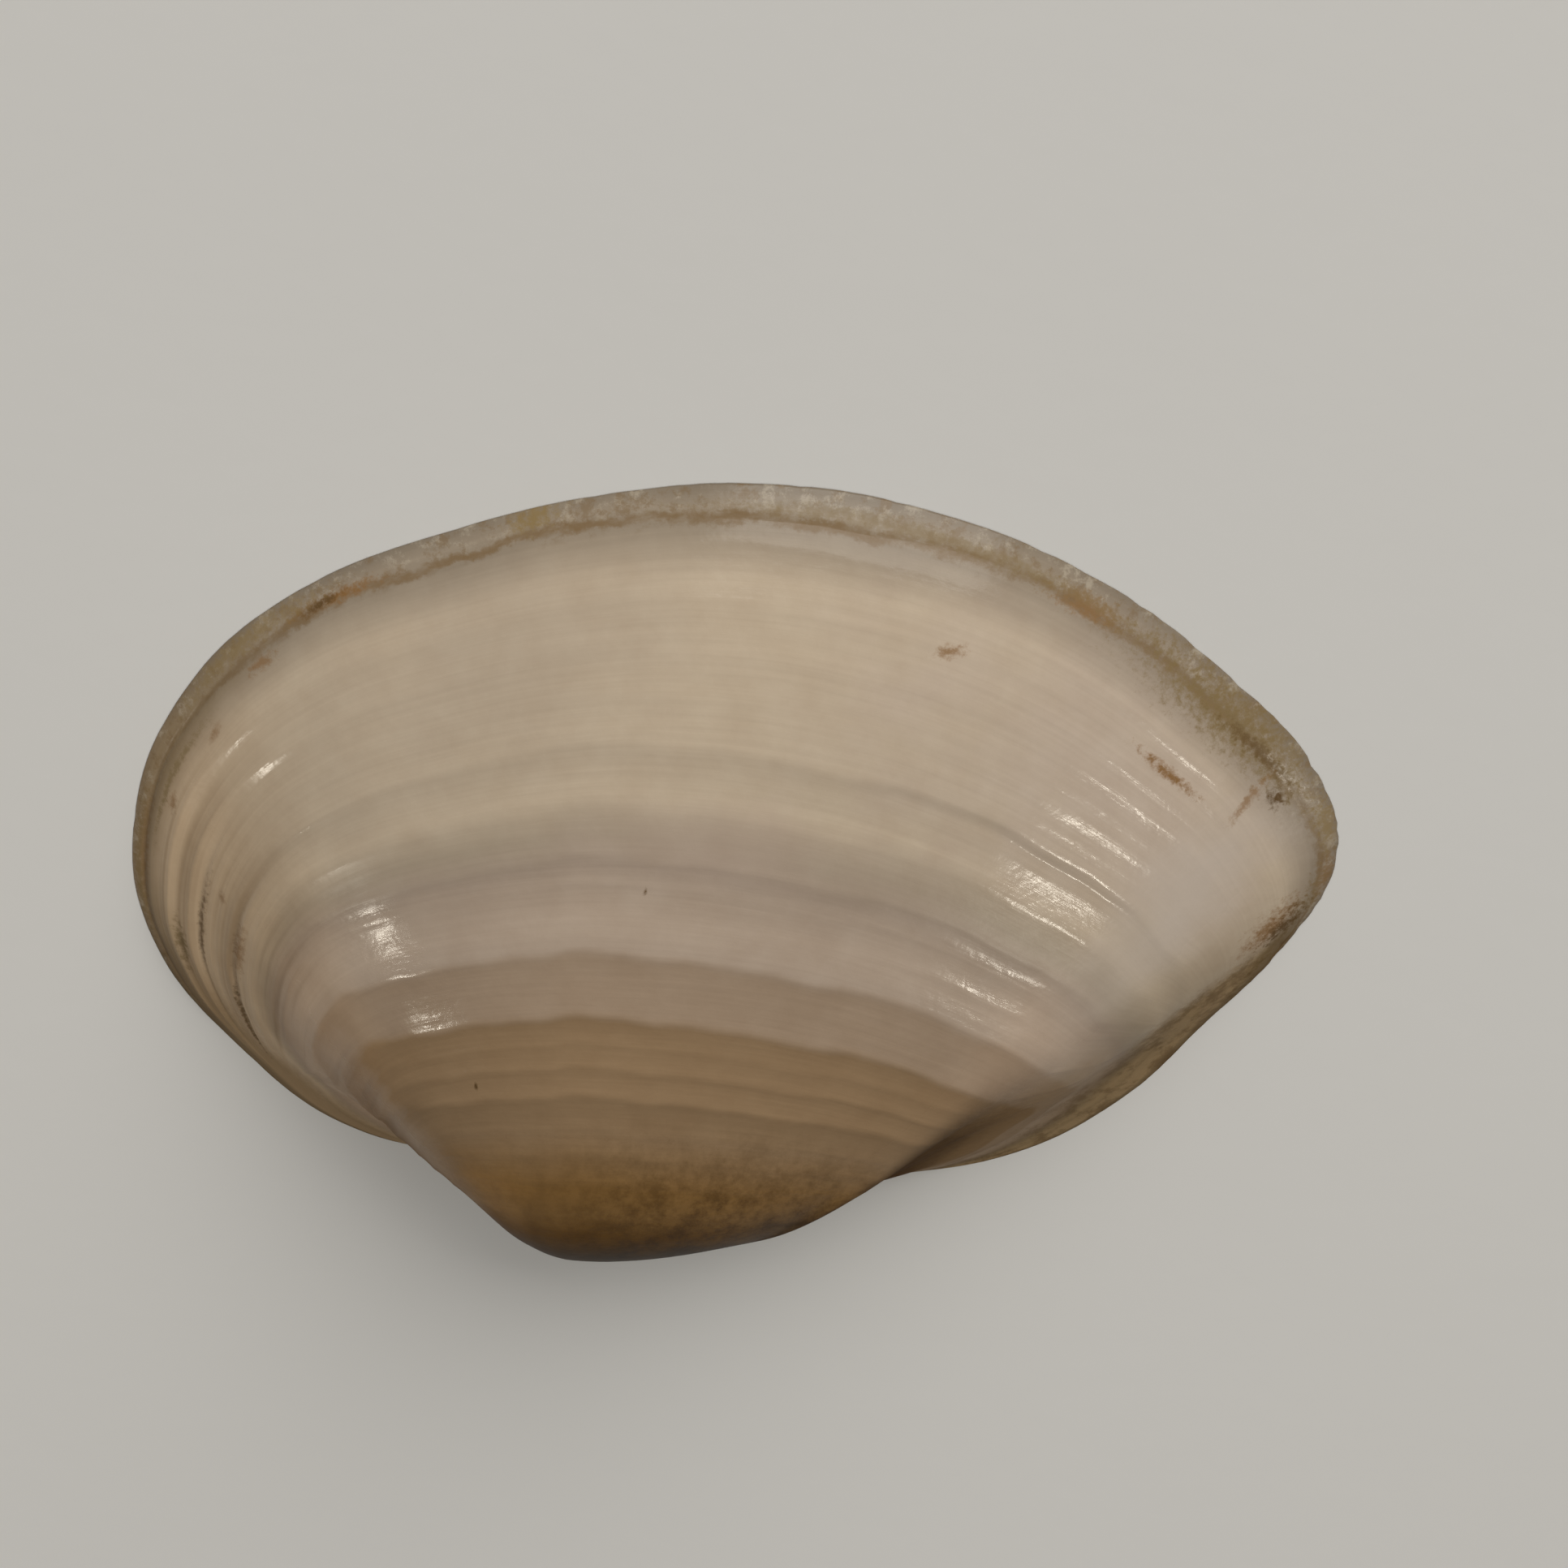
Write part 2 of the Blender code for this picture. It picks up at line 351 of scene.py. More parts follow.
def settle(mesh):
    """Bend the even spiral into the real one: rings crowd at the front and back margins,
    the young valve was shorter in front and longer behind, and it leant forward. The age
    of each point is kept on the mesh."""
    points = points_of(mesh) - np.array(BEAK)
    along = read(mesh, "along")
    reach = np.hypot(points[:, 1], points[:, 2])
    turned = np.arctan2(points[:, 2], -points[:, 1])
    age = np.exp(-turned / TURN)
    spread = profile(along, CROWDING)
    crowd = (1.0 - spread) * smoothstep(*CROWDED_AGES, age)
    where, run, ages, sag = SAG
    sagging = bell(along, where, run) * smoothstep(*ages, age) * smoothstep(*SAG_FADE, age)
    grown = age + (1.0 - age) * crowd - sag * sagging
    turned = -TURN * np.log(grown)
    ratio = grown / age
    reach = reach * ratio
    x = points[:, 0] * ratio
    x = x * np.where(x > 0, np.exp(-FRONT_SHRINK * turned), np.exp(BACK_STRETCH * turned))
    x = x + LEAN * turned * reach
    settled = np.stack([x, -reach * np.cos(turned), reach * np.sin(turned)], axis=1)
    put_points(mesh, settled + np.array(BEAK))
    write(mesh, "age", age)
    write(mesh, "grown", grown)


def draw_in(mesh):
    """Move each point inwards by its share of the wall's thickness."""
    points = points_of(mesh)
    share = read(mesh, "inside")[:, None]
    centre = np.array(DRAW_IN_CENTRE)
    inner = centre + (points - centre) * np.array(DRAW_IN)
    put_points(mesh, points * (1.0 - share) + inner * share)


def unwrap_by_growth(mesh):
    """A UV map with along the lip as U and age as V, both from 0 to 1."""
    along = read(mesh, "along") / ALONG
    age = read(mesh, "age")
    late, early = SEAM
    layer = mesh.uv_layers.new(name="growth")
    for face in mesh.polygons:
        corners = [(i, mesh.loops[i].vertex_index) for i in face.loop_indices]
        seam = max(along[v] for _, v in corners) > late
        for corner, v in corners:
            wrapped = 1.0 if seam and along[v] < early else 0.0
            layer.data[corner].uv = (along[v] + wrapped, age[v])


def read_growth(mesh):
    """Along and age at every point, from the UV map. On the map's seam, along is 21."""
    uv = np.zeros(len(mesh.loops) * 2, dtype=np.float32)
    mesh.uv_layers["growth"].data.foreach_get("uv", uv)
    corner = np.zeros(len(mesh.loops), dtype=np.int32)
    mesh.loops.foreach_get("vertex_index", corner)
    growth = np.zeros((len(mesh.vertices), 2))
    np.maximum.at(growth, corner, uv.reshape(-1, 2))
    return growth[:, 0] * ALONG, growth[:, 1]


def profile(along, stops):
    """The value at each place along the lip, straight between the stops."""
    return np.interp(along, *zip(*stops))


def bell(value, centre, reach):
    return np.exp(-((value - centre) / reach) ** 2)


def crest(age, ring, older, newer):
    off = age - ring
    return np.where(off < 0, np.exp(off / older), np.exp(-off / newer))


def wavering(along, age):
    """The age with the rings' waver added."""
    waves = sum(share * np.sin(pace * along + start + drift * age)
                for pace, start, drift, share in WAVES)
    return age + WAVER * waves


def relief(along, age):
    """Height of the growth relief in mm."""
    height = sum(tall * crest(age, ring, *reach) for ring, tall, *reach in CRESTS)
    front_side = profile(along, FRONT_SIDE)
    back_side = profile(along, BACK_SIDE)
    for ring, front, back, *reach in SIDE_CRESTS:
        height += (front * front_side + back * back_side) * crest(age, ring, *reach)
    for ring, depth, reach, where, run in GROOVES:
        height -= depth * bell(age, ring, reach) * bell(along, where, run)
    return height * profile(along, RELIEF_SHARE)


def hollows(along, grown, keel_depth):
    """How far in mm the whole wall is set in or, below zero, out."""
    behind = smoothstep(*KEEL_START, along) * (1.0 - smoothstep(*KEEL_END, along))
    depth = keel_depth / MM * behind * smoothstep(*KEEL_FADE, grown)
    for where, age, run, reach, flat in FLATS:
        depth += flat * bell(along, where, run) * bell(grown, age, reach)
    where, age, run, reach, twist, flat = TWIST
    off = grown - age
    share = bell(along, where, run) * bell(grown, age, reach) * smoothstep(*TWIST_FADE, grown)
    depth += share * off * (twist * (along - where) - flat * off / 2)
    return depth * smoothstep(*BEAK_AGES, grown)


def off_line(points, line):
    """Distance of each point from a broken line, both in the XY plane."""
    best = np.full(len(points), np.inf)
    for start, end in zip(np.array(line), np.array(line[1:])):
        run = end - start
        share = np.clip((points - start) @ run / (run @ run), 0.0, 1.0)[:, None]
        best = np.minimum(best, np.hypot(*(points - start - share * run).T))
    return best


def impressions(points):
    """How deep in mm the muscles and the mantle are pressed into the inside."""
    flat = points[:, :2]
    depth = MANTLE_DEPTH * bell(off_line(flat, MANTLE_LINE), 0.0, MANTLE_WIDTH)
    for centre, half in SCARS:
        reach = np.hypot(*((flat - centre) / half).T)
        depth = np.maximum(depth, SCAR_DEPTH * smoothstep(*SCAR_EDGE, reach))
    return depth


def ragged_lip(mesh):
    """Nibble at the lip, most round the back end."""
    along, age = read_growth(mesh)
    nibble = sum(np.sin(along * pace + pace) for pace in NIBBLES) / len(NIBBLES)
    depth = NIBBLE_DEPTH * np.maximum(nibble, 0.0) * profile(along, NIBBLED)
    points = points_of(mesh)
    share = depth * smoothstep(*LIP_AGES, age) / np.hypot(points[:, 0], points[:, 1])
    points[:, :2] *= (1.0 - share)[:, None]
    put_points(mesh, points)


def raise_relief(mesh, settings):
    """Set the wall in where it is hollow, raise the growth relief on its outside, and press
    the scars into its inside."""
    points = points_of(mesh)
    along, age = read_growth(mesh)
    inside = read(mesh, "inside")
    fade = (inside < OUTER) * (1.0 - smoothstep(*LIP_AGES, age)) * smoothstep(*UMBO_AGES, age)
    band = wavering(along, age)
    write(mesh, "band", band)
    spread = profile(along, CROWDING) ** CROWDED_RELIEF
    height = settings.relief * relief(along, band) * fade * spread
    facing = np.where(inside < MIDDLE, 1.0, -1.0)
    height -= hollows(along, read(mesh, "grown"), settings.keel_depth) * facing
    pressed = impressions(points) * (inside > INNER)
    write(mesh, "pressed", pressed)
    height -= pressed
    put_points(mesh, points + normals_of(mesh) * height[:, None])


def to_metres(obj):
    select_only(obj)
    obj.scale = (MM, MM, MM)
    bpy.ops.object.transform_apply(location=True, rotation=True, scale=True)


def build_valve(settings):
    """The valve's whole wall, outside and inside, as one closed surface."""
    ring = lip_ring(settings.columns)
    count = len(ring.data.vertices)
    edit_all()
    grow_back(settings.outside_rings, YOUNGEST)
    centre, rise = ring_centre(YOUNGEST)
    close_over(OUTSIDE_DOME, rise, centre)
    select_lip(count)
    for share in LIP_STEPS:
        extrude_ring()
        mark_selected("inside", share)
    grow_back(settings.inside_rings, INSIDE_YOUNGEST)
    centre, rise = ring_centre(INSIDE_YOUNGEST)
    close_over(INSIDE_DOME, rise, centre)
    turn_outwards()
    settle(ring.data)
    unwrap_by_growth(ring.data)
    draw_in(ring.data)
    apply_modifier(ring, "SUBSURF", levels=1, render_levels=1, uv_smooth="NONE")
    raise_relief(ring.data, settings)
    ragged_lip(ring.data)
    bpy.ops.object.shade_smooth()
    to_metres(ring)
    ring.name = "valve"
    return ring


# Hinge plate under the beak, in mm: its outline, the face towards the other valve, teeth
# as ridges (start, end, width), and the pit of the inner ligament
PLATE_Z = 0.5
PLATE_THICKNESS = 1.0
PLATE = [
    (10.2, 8.3), (11.5, 10.6), (6.5, 13.0), (1.4, 14.0), (-4.5, 13.0), (-9.6, 10.2),
    (-9.0, 7.5), (-6.0, 8.3), (-3.2, 8.7), (-1.9, 7.6), (-0.4, 7.2), (0.8, 7.7),
    (1.6, 8.4), (4.2, 8.9), (7.2, 8.7),
]
PLATE_DETAIL = 6
TEETH = {
    "cardinal_front": ((1.75, 10.25), (3.2, 9.25), 0.36),
    "cardinal_back": ((1.5, 10.1), (1.7, 8.75), 0.36),
    "lateral_front_inner": ((4.5, 9.2), (9.2, 8.65), 0.36),
    "lateral_front_outer": ((4.7, 10.0), (8.8, 9.45), 0.30),
    "lateral_back_inner": ((-3.2, 9.0), (-8.4, 7.95), 0.36),
    "lateral_back_outer": ((-3.3, 9.8), (-7.8, 8.85), 0.30),
}
# Where a tooth's crest is, how deep its root goes, and how much smaller its crest is
TOOTH_CREST_Z = 0.08
TOOTH_ROOT = 0.3
CREST_SIZE = (0.75, 0.5, 1.0)
PIT_CENTRE = (-0.45, 8.8, 0.5)
PIT_SIZE = (1.0, 1.25, 0.6)
PIT_TURN = -0.25
PIT_SEGMENTS = 32
# The form that trims the plate lies half way through the wall
MIDWALL = Vector((0.972, 0.97, 0.94))
MIDWALL_COLUMNS = 4
MIDWALL_RINGS = 30
# Points closer than this in mm are one. The hinge is rounded in cells of this size, and
# then softened by this share, so many times
WELD = 0.01
ROUNDING = 0.1
SOFTENING = 0.5
SOFTENING_STEPS = 4

# Millimetres between two knots of the lip, and from the beak to the lip
KNOT_MM = 4.0
REACH_MM = 23.0

# The bands of colour on the outside from the beak to the lip: age, colour and lightness. The
# darkest band, at age 0.2, is partly the beak's brown and partly painted shade where the umbo turns
# away from the light
BANDS = [
    (0.05, "beak", 0.6), (0.2, "beak", 0.3), (0.26, "beak", 1.0), (0.3, "ochre", 0.9),
    (0.34, "ochre", 1.0), (0.41, "nut", 1.0), (0.445, "nut", 0.9), (0.455, "nut", 1.02),
    (0.528, "nut", 0.94), (0.537, "fawn", 1.0), (0.588, "fawn", 1.0), (0.598, "buff", 0.93),
    (0.62, "buff", 1.0), (0.655, "buff", 0.9), (0.672, "buff", 0.79), (0.7, "cream", 0.75),
    (0.72, "cream", 0.9), (0.735, "cream", 1.02), (0.77, "cream", 0.91), (0.782, "cream", 1.0),
    (0.92, "cream", 1.05), (0.945, "cream", 0.77), (0.965, "cream", 0.6), (0.98, "cream", 0.65),
    (1.0, "cream", 0.45),
]
# Colours are linear red, green and blue
BROWN_LINE = (0.16, 0.103, 0.050)
RIM_CHALK = (0.42, 0.37, 0.29)
INSIDE_MARGIN = (0.55, 0.44, 0.30)
SCAR_COLOUR = (0.52, 0.47, 0.40)
# The tint of the front end, as factors of the colour under it
FRONT_TINT = (1.10, 1.00, 0.88)
# Stains on the margins and painted shade round the keel and the umbo: how ragged their sides are,
# along and age from none to all, and their factors of the colour under them. The back and the front
# ones are stains on the rims. Slope is painted shade on the back slope and along the keel, hollow
# is partly brown and partly painted shade in the hollow behind the keel, and umbo is painted shade
# on the front flank of the umbo
STAINS_AND_SHADE = {
    "back": (0.25, (15.35, 15.95), (0.60, 0.86), (0.67, 0.57, 0.40)),
    "slope": (0.0, (13.62, 14.1), (0.60, 0.42), (0.34, 0.28, 0.18)),
    "hollow": (0.0, (14.3, 15.3), (0.80, 0.55), (0.86, 0.80, 0.68)),
    "front": (0.0, (4.6, 3.6), (0.78, 0.90), (0.62, 0.58, 0.50)),
    "umbo": (0.0, (6.9, 5.4), (0.56, 0.42), (0.66, 0.63, 0.58)),
}
# Tones laid over the colour by a pattern, from its low parts to its high ones
STREAK_TONES = [(0.3, (0.38, 0.37, 0.36)), (0.7, (0.62, 0.62, 0.62))]
CLOUD_TONES = [(0.3, (0.44, 0.42, 0.40)), (0.7, (0.56, 0.57, 0.58))]
# The umbo's mottling: partly its own colour, partly painted shade
UMBO_MOTTLE_TONES = [(0.38, (0.45, 0.40, 0.30)), (0.60, (1.12, 1.12, 1.12))]
# Dark lines round the front end: partly growth lines, partly painted shade of the ridges
LINE_TONES = [(0.36, (0.70, 0.66, 0.60)), (0.50, (1.04, 1.04, 1.04))]
# Where in its pattern a clouded colour is darkest and lightest
CLOUD_ENDS = (0.3, 0.7)
# How much of a layer shows
SHARES = {
    "streaks": 0.15, "clouds": 0.35, "lines": 0.85, "crowding": 0.75, "margin": 0.5,
    "scars": 0.6,
}
# How far a pattern swings to either side of its middle
SWINGS = {
    "band_shift": 0.003, "line_shift": 0.015, "soft": 0.45, "ragged": 1.3, "gloss": 0.05,
    "inside_gloss": 0.075, "hinge_gloss": 0.075, "inside_clouds": 0.11, "hinge_clouds": 0.13,
}
# Noise patterns: repeats in a mm, detail, roughness and, if squeezed, the factor each way
PATTERNS = {
    "band_shift": (0.8, 3.0, 0.5), "line_shift": (1.1, 5.0, 0.75), "soft": (0.5, 3.0, 0.5),
    "streaks": (1.0, 3.0, 0.6, 0.12, 9.0, 1.0), "dashes": (1.0, 4.0, 0.7, 0.7, 2.0, 1.0),
    "lines": (1.0, 2.5, 0.55, 0.03, 1.5, 1.0), "umbo_mottle": (1.8, 6.0, 0.75, 1.0, 0.6, 0.6),
    "clouds": (0.9, 4.0, 0.6), "mottle": (1.6, 6.0, 0.75), "chalk": (2.0, 6.0, 0.75),
    "ragged": (5.0, 5.0, 0.75), "blotches": (1.1, 6.0, 0.75), "gloss": (2.2, 3.0, 0.5),
    "fine_lines": (1.0, 3.0, 0.6, 0.5, 14.0, 1.0), "grain": (4.0, 2.0, 0.5),
    "inside_clouds": (0.35, 4.0, 0.6), "inside_gloss": (1.5, 3.0, 0.5),
    "inside_grain": (2.5, 4.0, 0.6), "hinge_clouds": (0.6, 4.0, 0.6),
    "hinge_gloss": (2.0, 3.0, 0.5), "striae": (1.0, 2.0, 0.5, 6.0, 0.6, 1.0),
    "floor_clouds": (0.03, 3.0, 0.5), "floor_grain": (0.9, 2.0, 0.5),
}
# Where a layer fades in, from none to all, and its strengths there if not 0 and 1: first by
# place along the lip, then by age, then by the height of its pattern or by depth
FADES = {
    "front_tint": (7.2, 5.2), "line_front": (4.5, 7.5, 0.35, 1.0),
    # The umbo's darkening is stronger towards the back, where it is painted shade
    "umbo_shade_to_back": (9.0, 12.5, 0.3, 0.9), "back_flank": (13.8, 15.4),
    "front_flank": (6.6, 4.6), "lines_start": (6.8, 5.2), "lines_end": (3.2, 4.4),
    "keel": (13.2, 13.7),
    "mottle_age": (0.955, 0.972), "chalk_age": (0.972, 0.984), "old": (0.46, 0.30),
    "wear_and_shade": (0.5, 0.25), "dull": (0.664, 0.678), "dull_end": (0.724, 0.712),
    "keel_age": (0.66, 0.56), "line_width": (0.0015, 0.0075, 1.0, 0.0),
    "margin": (0.93, 0.99),
    "dashes": (0.3, 0.6, 0.25, 0.85), "mottle": (0.50, 0.62, 0.0, 0.55),
    "chalk": (0.50, 0.66, 0.0, 0.42), "blotches": (0.44, 0.62, 0.0, 0.6),
    "pressed": (0.0, MANTLE_DEPTH),
}
# Where the check line runs
CHECK_LINE_AGE = 0.970
# The edges of the sharp and of the soft marks, as shares of their half sizes
MARK_EDGE = 0.95
SOFT_EDGE = 1.2
# How far in age the ragged pattern moves a stain, and the clouds move the inside's margin
RAGGED_AGE = 0.03
MARGIN_RAGGED = 0.05
# What is added to the clean shell's roughness, and the roughness of the other materials
ROUGHER = {"stained_and_shaded": 0.3, "wear_and_shade": 0.4, "flank": 0.35, "dull": 0.15, "keel": 0.4}
INSIDE_ROUGHNESS = 0.275
HINGE_ROUGHNESS = 0.325
FLOOR_ROUGHNESS = 0.85
OUTSIDE_SPECULAR = 0.13
FLOOR_SPECULAR = 0.3
# Heights of the bumps in metres
FINE_LINE_HEIGHT = 0.0000025
GRAIN_HEIGHT = 0.000006
INSIDE_GRAIN_HEIGHT = 0.00003
STRIAE_HEIGHT = 0.00004
FLOOR_GRAIN_HEIGHT = 0.00002
FLOOR_GRAIN_STRENGTH = 0.3
# How dark the floor's darker clouds are
FLOOR_CLOUD = 0.97

# Marks on the outside: colour, along, age, length and width in mm, strength and, if it is
# turned, by how many radians
MARKS = [
    ("brown", 7.3, 0.974, 3.2, 0.5, 1.0), ("dark_brown", 7.2, 0.974, 1.5, 0.4, 1.0, 0.1),
    ("brown", 6.75, 0.952, 1.4, 0.5, 0.7), ("brown", 5.5, 0.93, 0.9, 0.6, 0.7),
    ("brown", 6.15, 0.93, 0.8, 0.5, 0.6), ("brown", 5.4, 0.805, 0.7, 0.5, 0.6),
    ("tan", 8.42, 0.99, 1.6, 1.0, 1.0), ("brown", 12.1, 0.975, 2.2, 0.7, 0.8),
    ("olive", 13.3, 0.97, 9.0, 1.7, 0.95), ("olive", 13.4, 0.99, 9.0, 0.8, 0.5),
    ("dark_brown", 13.5, 0.966, 4.5, 0.5, 0.7), ("dark_brown", 13.9, 0.95, 0.9, 0.6, 1.0),
    ("brown", 13.75, 0.93, 0.5, 2.0, 0.7, 0.15), ("brown", 11.55, 0.895, 1.0, 0.4, 0.8, 0.3),
    ("brown", 13.1, 0.897, 3.0, 0.36, 1.0, -0.03), ("olive", 4.35, 0.89, 3.2, 1.0, 0.8, -0.1),
    # The two long dark brown marks along the front grooves are partly brown and partly painted
    # shade in the grooves
    ("dark_brown", 4.8, 0.838, 6.0, 0.5, 0.8, -0.02),
    ("dark_brown", 3.9, 0.766, 7.5, 0.42, 0.85), ("brown", 5.1, 0.757, 3.6, 0.8, 0.7),
    ("brown", 15.3, 0.9, 3.0, 3.4, 0.9), ("tan", 14.5, 0.985, 4.5, 1.0, 0.8),
    ("brown", 15.1, 0.985, 2.6, 1.0, 0.7), ("olive", 17.0, 0.965, 13.0, 2.2, 0.7),
    ("dark_brown", 17.4, 0.975, 7.0, 0.8, 0.5), ("tan", 16.7, 0.9, 5.0, 0.8, 0.5, 0.1),
    ("brown", 4.8, 0.975, 6.0, 0.9, 0.6), ("olive", 5.6, 0.948, 6.0, 0.4, 0.7),
    ("olive", 11.2, 0.979, 20.0, 0.5, 0.6), ("olive", 4.6, 0.982, 8.0, 0.8, 0.7),
    ("olive", 15.7, 0.93, 9.0, 2.2, 0.7, -0.45), ("dark_brown", 15.45, 0.93, 2.6, 2.6, 0.9),
    ("tan", 6.6, 0.985, 7.0, 0.9, 0.7), ("dark_brown", 10.05, 0.652, 0.26, 0.26, 1.0),
    ("dark_brown", 8.2, 0.466, 0.3, 0.3, 1.0),
]
# Wide soft tints, written as the marks are. The dark brown one on the back of the umbo is partly
# the umbo's own brown and partly painted shade
TINTS = [
    ("bloom", 14.0, 0.8, 5.0, 8.0, 0.75), ("lilac", 10.5, 0.7, 16.0, 1.8, 0.35),
    ("olive", 4.3, 0.93, 5.0, 3.0, 0.3), ("dark_brown", 13.5, 0.25, 9.0, 4.5, 0.8),
    ("olive", 5.6, 0.97, 11.0, 1.6, 0.5),
]
# Places where the outside is lighter or darker than its ring, as factors of its colour. They are
# painted light on the front flank, near the keel and on the front of the umbo, and painted shade
# near the lip in front of the middle and at the back end. The last one only makes the back half a
# little bluer
PAINTED_LIGHT_SHADE_AND_TINT = [
    ((1.27, 1.26, 1.24), 6.3, 0.61, 10.0, 8.0, 1.0),
    ((1.18, 1.15, 1.13), 13.9, 0.6, 7.0, 6.0, 1.0),
    ((1.28, 1.25, 1.15), 7.9, 0.31, 9.0, 4.5, 1.0),
    ((0.91, 0.91, 0.92), 8.4, 0.87, 12.0, 5.0, 1.0),
    ((0.88, 0.86, 0.82), 15.3, 0.78, 5.0, 5.0, 1.0),
    ((1.0, 1.0, 1.08), 13.0, 0.86, 18.0, 7.0, 1.0),
]


class Recipe:
    """A material being written, with short calls for its nodes. Its space is in mm."""

    def __init__(self, name):
        self.material = bpy.data.materials.new(name)
        self.material.use_nodes = True
        self.tree = self.material.node_tree
        self.shader = self.tree.nodes["Principled BSDF"]
        space = self.add("TexCoord", {}).outputs["Object"]
        self.space = self.scaled(space, 1.0 / MM, 1.0 / MM, 1.0 / MM)

    def feed(self, socket, value):
        if isinstance(value, bpy.types.NodeSocket):
            self.tree.links.new(value, socket)
        elif socket.type == "RGBA":
            socket.default_value = (*value, 1.0)
        else:
            socket.default_value = value

    def add(self, kind, inputs, **settings):
        node = self.tree.nodes.new("ShaderNode" + kind)
        for name, value in settings.items():
            setattr(node, name, value)
        for key, value in inputs.items():
            self.feed(node.inputs[key], value)
        return node

    def maths(self, operation, *values):
        return self.add("Math", dict(enumerate(values)), operation=operation).outputs[0]

    def span(self, value, low, high, start=0.0, end=1.0):
        """The value's smooth way from low to high, as a number from start to end."""
        inputs = {"Value": value, "From Min": low, "From Max": high, "To Min": start, "To Max": end}
        return self.add("MapRange", inputs, interpolation_type="SMOOTHSTEP").outputs[0]

    def fade(self, value, name):
        return self.span(value, *FADES[name])

    def times(self, first, second):
        return self.maths("MULTIPLY", first, second)

    def scaled(self, vector, x, y, z):
        node = self.add("VectorMath", {0: vector, 1: (x, y, z)}, operation="MULTIPLY")
        return node.outputs["Vector"]

    def noise(self, vector, pattern):
        scale, detail, roughness, *squeeze = PATTERNS[pattern]
        if squeeze:
            vector = self.scaled(vector, *squeeze)
        inputs = {"Vector": vector, "Scale": scale, "Detail": detail, "Roughness": roughness}
        return self.add("TexNoise", inputs).outputs["Fac"]

    def swing(self, pattern, middle=0.0):
        """The pattern in space, swinging about its middle."""
        reach = SWINGS[pattern]
        noise = self.noise(self.space, pattern)
        return self.maths("MULTIPLY_ADD", noise, 2 * reach, middle - reach)

    def clouded(self, colour, pattern):
        """The colour, lighter and darker by the pattern, and the pattern itself."""
        cloud = self.noise(self.space, pattern)
        tones = (shaded(colour, 1.0 - SWINGS[pattern]), shaded(colour, 1.0 + SWINGS[pattern]))
        return self.ramp(cloud, list(zip(CLOUD_ENDS, tones))), cloud

    def mixed(self, factor, first, second, blend="MIX"):
        node = self.add("Mix", {0: factor, 6: first, 7: second}, data_type="RGBA", blend_type=blend)
        return node.outputs[2]

    def ramp(self, factor, stops):
        node = self.add("ValToRGB", {"Fac": factor})
        elements = node.color_ramp.elements
        while len(elements) < len(stops):
            elements.new(1.0)
        for element, (position, colour) in zip(elements, stops):
            element.position = position
            element.color = (*colour, 1.0)
        return node.outputs["Color"]

    def bump(self, height, distance, strength=1.0, normal=None):
        inputs = {"Height": height, "Distance": distance, "Strength": strength}
        if normal:
            inputs["Normal"] = normal
        return self.add("Bump", inputs).outputs["Normal"]

    def finish(self, colour, roughness, normal, specular=0.5):
        inputs = {"Base Color": colour, "Roughness": roughness, "Normal": normal,
                  "Specular IOR Level": specular}
        for name, value in inputs.items():
            self.feed(self.shader.inputs[name], value)
        return self.material


def shaded(colour, factor):
    return [factor * part for part in colour]


class ShellRecipe(Recipe):
    """A material on the valve's wall, with along and age and their place in mm."""

    def __init__(self, name):
        super().__init__(name)
        growth = self.add("UVMap", {}, uv_map="growth").outputs["UV"]
        split = self.add("SeparateXYZ", {0: growth})
        self.along = self.maths("MULTIPLY", split.outputs["X"], float(ALONG))
        self.age = split.outputs["Y"]
        self.place = self.scaled(growth, ALONG * KNOT_MM, REACH_MM, 1.0)

    def read(self, attribute):
        return self.add("Attribute", {}, attribute_name=attribute).outputs["Fac"]

    def mark(self, ragged, mark, edge):
        """A patch at its place on the growth map that fades out to a ragged edge."""
        along, age, length, width, strength, *turn = mark
        inputs = {
            "Vector": self.place, "Location": (along * KNOT_MM, age * REACH_MM, 0.0),
            "Rotation": (0.0, 0.0, sum(turn)), "Scale": (length / 2, width / 2, 1.0),
        }
        spot = self.add("Mapping", inputs, vector_type="TEXTURE").outputs[0]
        reach = self.add("VectorMath", {0: spot}, operation="LENGTH").outputs["Value"]
        return self.span(self.maths("ADD", reach, ragged), 0.0, edge, strength, 0.0)


def banded(recipe, settings):
    """The colours of the growth bands, with fine streaks along them and clouds over them."""
    wavy_age = recipe.maths("ADD", recipe.read("band"), recipe.swing("band_shift"))
    crowded = recipe.maths("SUBTRACT", recipe.read("grown"), recipe.age)
    spread = recipe.times(crowded, SHARES["crowding"])
    bands = [(ring, shaded(getattr(settings, name), light)) for ring, name, light in BANDS]
    # The bands include painted shade in the dark ring near the beak
    colour = recipe.ramp(recipe.maths("ADD", wavy_age, spread), bands)
    streaks = recipe.ramp(recipe.noise(recipe.place, "streaks"), STREAK_TONES)
    colour = recipe.mixed(SHARES["streaks"], colour, streaks, "OVERLAY")
    clouds = recipe.ramp(recipe.noise(recipe.space, "clouds"), CLOUD_TONES)
    return recipe.mixed(SHARES["clouds"], colour, clouds, "OVERLAY")


